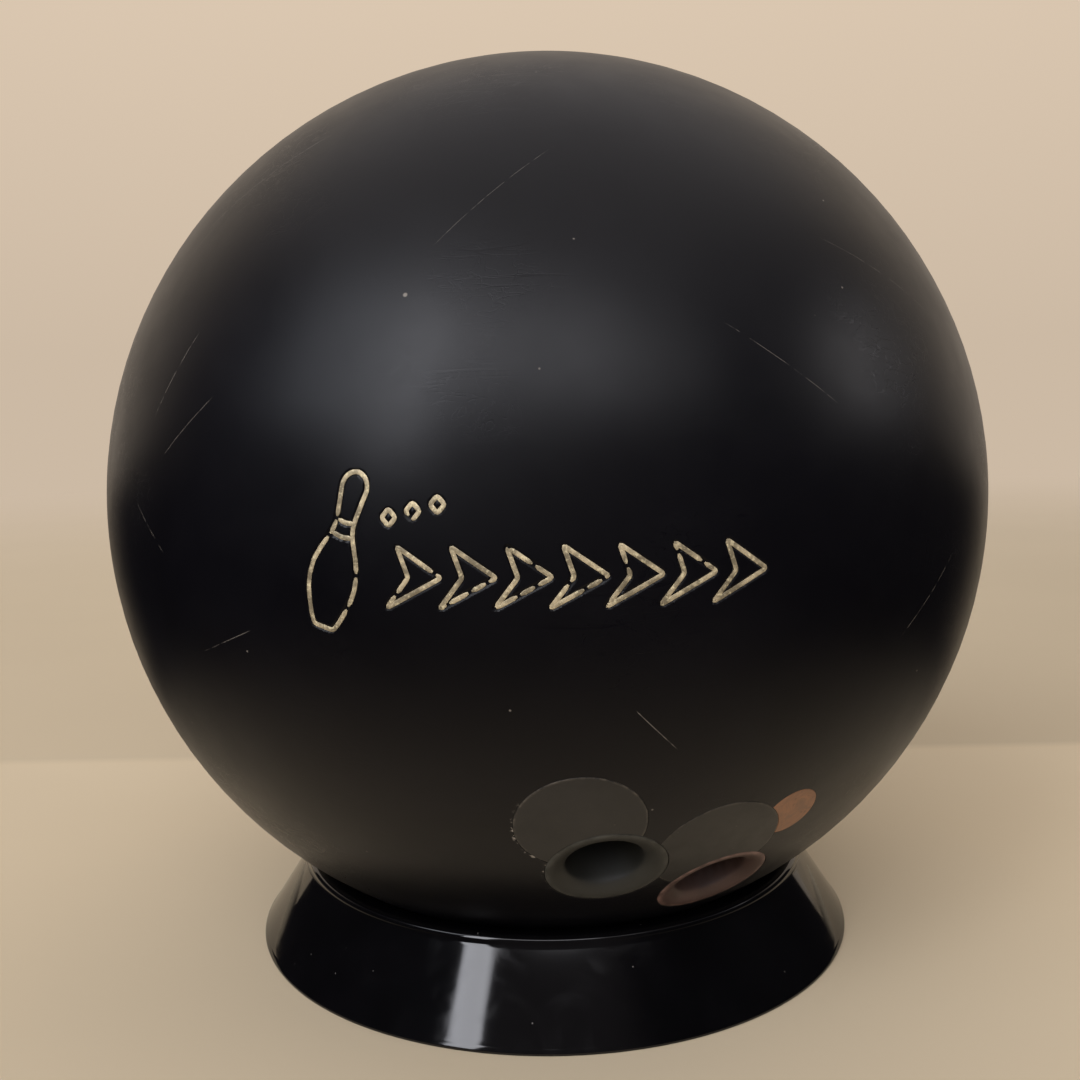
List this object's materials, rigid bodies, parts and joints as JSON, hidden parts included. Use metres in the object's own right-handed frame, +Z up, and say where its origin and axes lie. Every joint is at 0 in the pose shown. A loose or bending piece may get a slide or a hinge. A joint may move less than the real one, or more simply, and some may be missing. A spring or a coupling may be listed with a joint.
{
  "type": "bowling ball",
  "caption": "Drilled dark satin bowling ball with finger inserts, a thumb slug, filled old holes and a cast core, resting in a low glossy ring stand that it lifts out of.",
  "frame": {"origin": "on the shelf that the ring stands on, under the ball's centre", "axes": "+Z up, -Y towards the side of the ball with the emblem, +X to the viewer's right"},
  "size_m": [0.217, 0.217, 0.2187],
  "materials": {
    "coverstock": "satin",
    "core_filler": "matte",
    "weight_block": "matte",
    "flip_block": "matte",
    "core_pin": "satin",
    "hole_plugs": "satin",
    "grey_insert": "matte",
    "brown_insert": "matte",
    "thumb_slug": "satin",
    "ring_stand": "gloss"
  },
  "bodies": {
    "stand": {"ring_stand": "ring_stand"},
    "ball": {"coverstock": "coverstock", "outer_core": "core_filler", "weight_block": "weight_block", "flip_block": "flip_block", "core_pin": "core_pin", "old_finger_plug_left": "hole_plugs", "old_finger_plug_right": "hole_plugs", "old_thumb_plug": "hole_plugs", "finger_insert_left": "grey_insert", "finger_insert_right": "brown_insert", "thumb_slug": "thumb_slug"}
  },
  "joints": [
    {"name": "ball_lift", "type": "slide", "parent": "stand", "child": "ball", "axis": [0, 0, 1], "range_m": [0, 0.12]}
  ]
}
